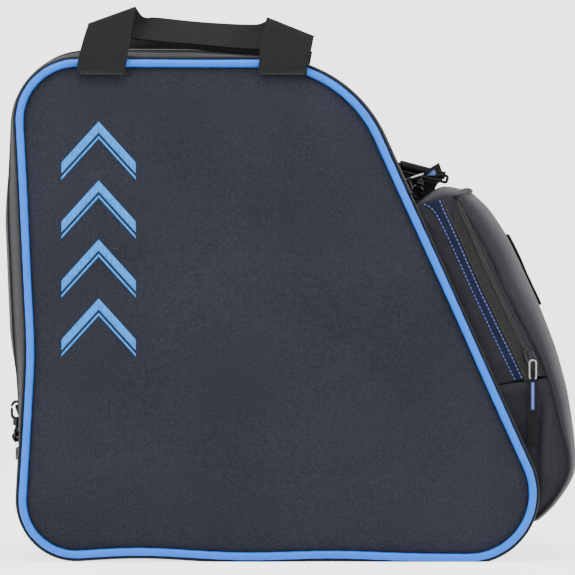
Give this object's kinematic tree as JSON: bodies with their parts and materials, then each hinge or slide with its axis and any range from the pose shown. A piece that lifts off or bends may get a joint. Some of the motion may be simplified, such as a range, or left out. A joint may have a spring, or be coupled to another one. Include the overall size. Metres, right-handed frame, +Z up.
{
  "type": "ski boot bag",
  "caption": "Wedge-shaped soft boot bag with a folding zipped front flap, a zipped side pocket, two webbing carry handles and a clip-on shoulder strap.",
  "frame": {"origin": "centre of the flat underside, on the surface that the bag stands on", "axes": "+Z up, +X towards the slanted side with the pocket, +Y from the front panel to the back panel"},
  "size_m": [0.4512, 0.2543, 0.43],
  "materials": {
    "panel_fabric": "matte polyester weave with a laminated face",
    "gusset_fabric": "matte polyester weave",
    "pocket_fabric": "satin polyester twill",
    "foam": "closed-cell foam",
    "piping": "tightly woven cord cover, satin",
    "webbing": "ribbed polypropylene webbing",
    "zip_tape": "knitted zip tape",
    "zip_coil": "nylon coil",
    "emblem_thread": "satin stitch embroidery thread",
    "edge_tape": "navy binding tape with pale blue stitching",
    "board": "textured polypropylene sheet",
    "zinc": "polished zinc casting",
    "black_metal": "gloss black lacquer",
    "adjuster_plastic": "moulded acetal",
    "label": "moulded soft label"
  },
  "bodies": {
    "root": {"back_panel": "panel_fabric", "back_foam": "foam", "front_panel_lower": "panel_fabric", "front_foam_lower": "foam", "piping_back": "piping", "piping_front_lower": "piping", "base_gusset": "gusset_fabric", "zip_gusset": "gusset_fabric", "base_board": "board", "main_zip_tape_rear": "zip_tape", "main_zip_coil_rear": "zip_coil", "back_handle_ends": "webbing", "pocket_side_front": "pocket_fabric", "pocket_side_back": "pocket_fabric", "pocket_top_wall": "pocket_fabric", "pocket_lower_face": "pocket_fabric", "pocket_zip_tape_body": "zip_tape", "pocket_edge_tape": "edge_tape", "ring_tab_left": "webbing", "ring_tab_right": "webbing", "swivel_eye_left": "black_metal", "swivel_eye_right": "black_metal", "shoulder_strap": "webbing"},
    "flap": {"front_panel_flap": "panel_fabric", "front_foam_flap": "foam", "piping_front_flap": "piping", "zip_gusset_front_strip": "gusset_fabric", "main_zip_tape_front": "zip_tape", "main_zip_coil_front": "zip_coil", "front_emblem": "emblem_thread", "front_handle_ends": "webbing"},
    "front_handle": {"front_handle": "webbing"},
    "back_handle": {"back_handle": "webbing"},
    "main_slider": {"main_slider": "zinc"},
    "main_pull": {"main_pull": "zinc", "main_pull_tab": "webbing"},
    "pocket_flap": {"pocket_flap_face": "pocket_fabric", "pocket_zip_tape_flap": "zip_tape", "pocket_label": "label"},
    "pocket_slider": {"pocket_slider": "zinc"},
    "pocket_pull": {"pocket_pull": "zinc", "pocket_pull_tab": "webbing"},
    "ring_left": {"ring_left": "black_metal"},
    "ring_right": {"ring_right": "black_metal"},
    "hook_left": {"snap_hook_left": "black_metal"},
    "hook_right": {"snap_hook_right": "black_metal"},
    "gate_left": {"hook_gate_left": "black_metal"},
    "gate_right": {"hook_gate_right": "black_metal"},
    "strap_adjuster": {"strap_adjuster": "adjuster_plastic"}
  },
  "joints": [
    {"name": "flap_fold", "type": "hinge", "parent": "root", "child": "flap", "pos_m": [-0.19, -0.124, 0.1], "axis": [0.8468, 0, 0.5319], "range_deg": [0, 110]},
    {"name": "front_handle_swing", "type": "hinge", "parent": "flap", "child": "front_handle", "pos_m": [-0.06, -0.1263, 0.3864], "axis": [1, 0, 0], "range_deg": [0, 160]},
    {"name": "back_handle_swing", "type": "hinge", "parent": "root", "child": "back_handle", "pos_m": [-0.06, 0.1263, 0.3864], "axis": [-1, 0, 0], "range_deg": [0, 160]},
    {"name": "main_zip_slide", "type": "slide", "parent": "root", "child": "main_slider", "axis": [-0.4112, 0, 0.9115], "range_m": [0, 0.035]},
    {"name": "main_pull_hinge", "type": "hinge", "parent": "main_slider", "child": "main_pull", "pos_m": [0.107, -0.0883, 0.3], "axis": [0, 1, 0], "range_deg": [-84, 1]},
    {"name": "pocket_fold", "type": "hinge", "parent": "root", "child": "pocket_flap", "pos_m": [0.2289, 0, 0.15], "axis": [0, 1, 0], "range_deg": [0, 100]},
    {"name": "pocket_zip_slide", "type": "slide", "parent": "root", "child": "pocket_slider", "axis": [-0.4341, 0, 0.9009], "range_m": [0, 0.1]},
    {"name": "pocket_pull_hinge", "type": "hinge", "parent": "pocket_slider", "child": "pocket_pull", "pos_m": [0.2036, -0.1019, 0.1564], "axis": [-1, 0, 0], "range_deg": [0, 150]},
    {"name": "ring_left_hinge", "type": "hinge", "parent": "root", "child": "ring_left", "pos_m": [-0.1996, 0, 0.1015], "axis": [0, 1, 0], "range_deg": [-2, 2]},
    {"name": "ring_right_hinge", "type": "hinge", "parent": "root", "child": "ring_right", "pos_m": [0.1034, 0, 0.3012], "axis": [0, 1, 0], "range_deg": [-2, 2]},
    {"name": "hook_left_swivel", "type": "hinge", "parent": "root", "child": "hook_left", "pos_m": [-0.207, 0, 0.1045], "axis": [0, 0, 1], "range_deg": [-12, 12]},
    {"name": "hook_right_swivel", "type": "hinge", "parent": "root", "child": "hook_right", "pos_m": [0.11767, 0, 0.29952], "axis": [-0.2516, 0, -0.9678], "range_deg": [-12, 12]},
    {"name": "gate_left_hinge", "type": "hinge", "parent": "hook_left", "child": "gate_left", "pos_m": [-0.21095, 0, 0.1117], "axis": [0, 1, 0], "range_deg": [0, 18], "stiffness_Nm_per_rad": 0.02},
    {"name": "gate_right_hinge", "type": "hinge", "parent": "hook_right", "child": "gate_right", "pos_m": [0.11968, 0, 0.29156], "axis": [0, 1, 0], "range_deg": [0, 18], "stiffness_Nm_per_rad": 0.02},
    {"name": "adjuster_slide", "type": "slide", "parent": "root", "child": "strap_adjuster", "axis": [-0.0783, 0, 0.9969], "range_m": [-0.003, 0.003]}
  ]
}
